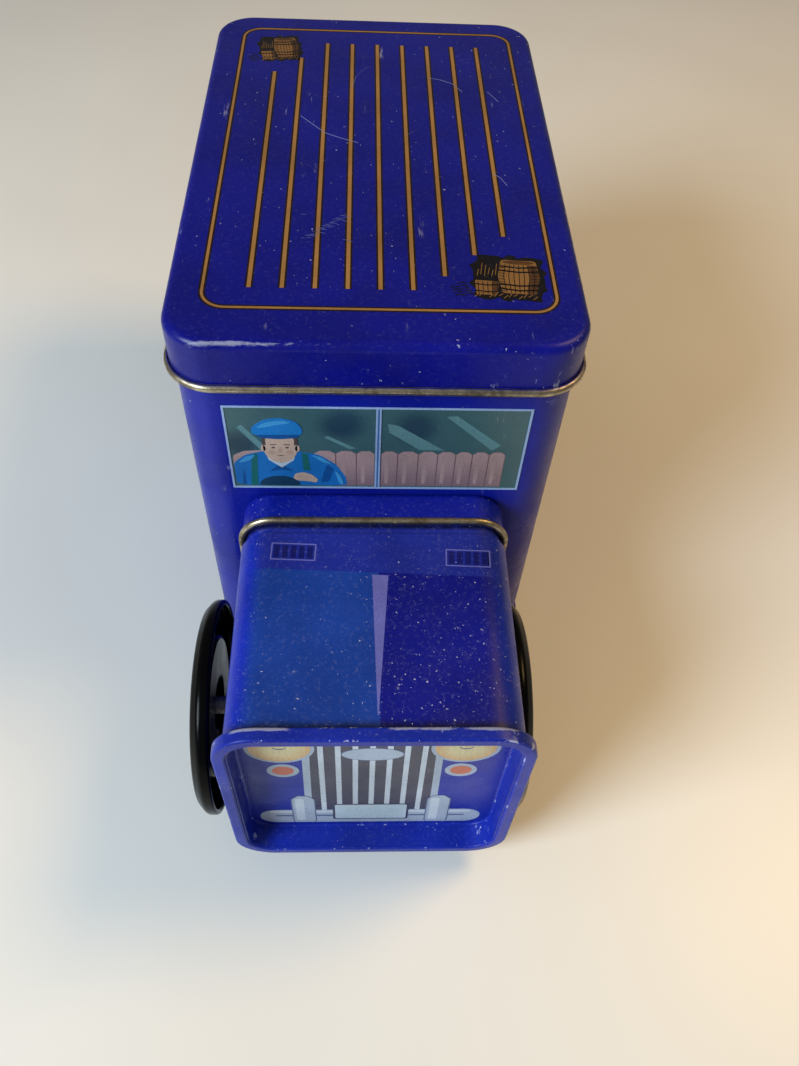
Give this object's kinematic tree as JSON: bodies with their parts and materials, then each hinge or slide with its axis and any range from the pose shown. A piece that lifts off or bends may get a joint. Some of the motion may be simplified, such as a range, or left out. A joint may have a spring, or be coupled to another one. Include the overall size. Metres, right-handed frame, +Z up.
{
  "type": "tin toy delivery van",
  "caption": "Lithographed tinplate delivery van tin: tall storage body with a lift-off roof, hood made as a smaller tin on its side, and pressed wheels on wire axles.",
  "frame": {"origin": "on the ground, under the middle of the van's whole length and width", "axes": "+Z up, -Y towards the nose, +X to the right of someone who faces the nose from the front"},
  "size_m": [0.1018, 0.2082, 0.1205],
  "materials": {
    "roof_tin": "glossy ultramarine print on tinplate",
    "body_tin": "glossy blue print on tinplate",
    "base_tin": "glossy blue print on tinplate",
    "collar_tin": "glossy blue print on tinplate with a bare rolled edge",
    "hood_tin": "glossy blue print on tinplate",
    "nose_tin": "glossy blue print with a printed radiator",
    "wheel_enamel": "gloss black enamel on pressed tinplate",
    "axle_wire": "drawn steel wire",
    "bush_steel": "turned steel",
    "cap_steel": "bright plated steel",
    "washer_steel": "stamped steel",
    "eyelet_brass": "dull brass",
    "rivet_steel": "tinned steel"
  },
  "bodies": {
    "root": {"body_shell": "body_tin", "body_base": "base_tin", "hood_collar": "collar_tin", "collar_rivets": "rivet_steel", "hood_shell": "hood_tin", "nose_panel": "nose_tin", "front_left_eyelet": "eyelet_brass", "front_right_eyelet": "eyelet_brass", "rear_left_eyelet": "eyelet_brass", "rear_right_eyelet": "eyelet_brass"},
    "roof_lid": {"roof_lid": "roof_tin"},
    "front_axle": {"front_axle": "axle_wire", "front_left_axle_cap": "cap_steel", "front_left_washer": "washer_steel", "front_right_axle_cap": "cap_steel", "front_right_washer": "washer_steel"},
    "rear_axle": {"rear_axle": "axle_wire", "rear_left_axle_cap": "cap_steel", "rear_left_washer": "washer_steel", "rear_right_axle_cap": "cap_steel", "rear_right_washer": "washer_steel"},
    "front_left_wheel": {"front_left_wheel": "wheel_enamel", "front_left_hub_bush": "bush_steel"},
    "front_right_wheel": {"front_right_wheel": "wheel_enamel", "front_right_hub_bush": "bush_steel"},
    "rear_left_wheel": {"rear_left_wheel": "wheel_enamel", "rear_left_hub_bush": "bush_steel"},
    "rear_right_wheel": {"rear_right_wheel": "wheel_enamel", "rear_right_hub_bush": "bush_steel"}
  },
  "joints": [
    {"name": "roof_lid_lift", "type": "slide", "parent": "root", "child": "roof_lid", "axis": [0, 0, 1], "range_m": [0, 0.03]},
    {"name": "front_axle_float", "type": "slide", "parent": "root", "child": "front_axle", "axis": [1, 0, 0], "range_m": [0, 0.005]},
    {"name": "rear_axle_float", "type": "slide", "parent": "root", "child": "rear_axle", "axis": [1, 0, 0], "range_m": [-0.0005, 0.0005]},
    {"name": "front_left_wheel_spin", "type": "hinge", "parent": "front_axle", "child": "front_left_wheel", "pos_m": [0, -0.07262, 0.02725], "axis": [1, 0, 0], "continuous": true},
    {"name": "front_right_wheel_spin", "type": "hinge", "parent": "front_axle", "child": "front_right_wheel", "pos_m": [0, -0.07262, 0.02725], "axis": [1, 0, 0], "continuous": true},
    {"name": "rear_left_wheel_spin", "type": "hinge", "parent": "rear_axle", "child": "rear_left_wheel", "pos_m": [0, 0.06757, 0.02725], "axis": [1, 0, 0], "continuous": true},
    {"name": "rear_right_wheel_spin", "type": "hinge", "parent": "rear_axle", "child": "rear_right_wheel", "pos_m": [0, 0.06757, 0.02725], "axis": [1, 0, 0], "continuous": true}
  ]
}
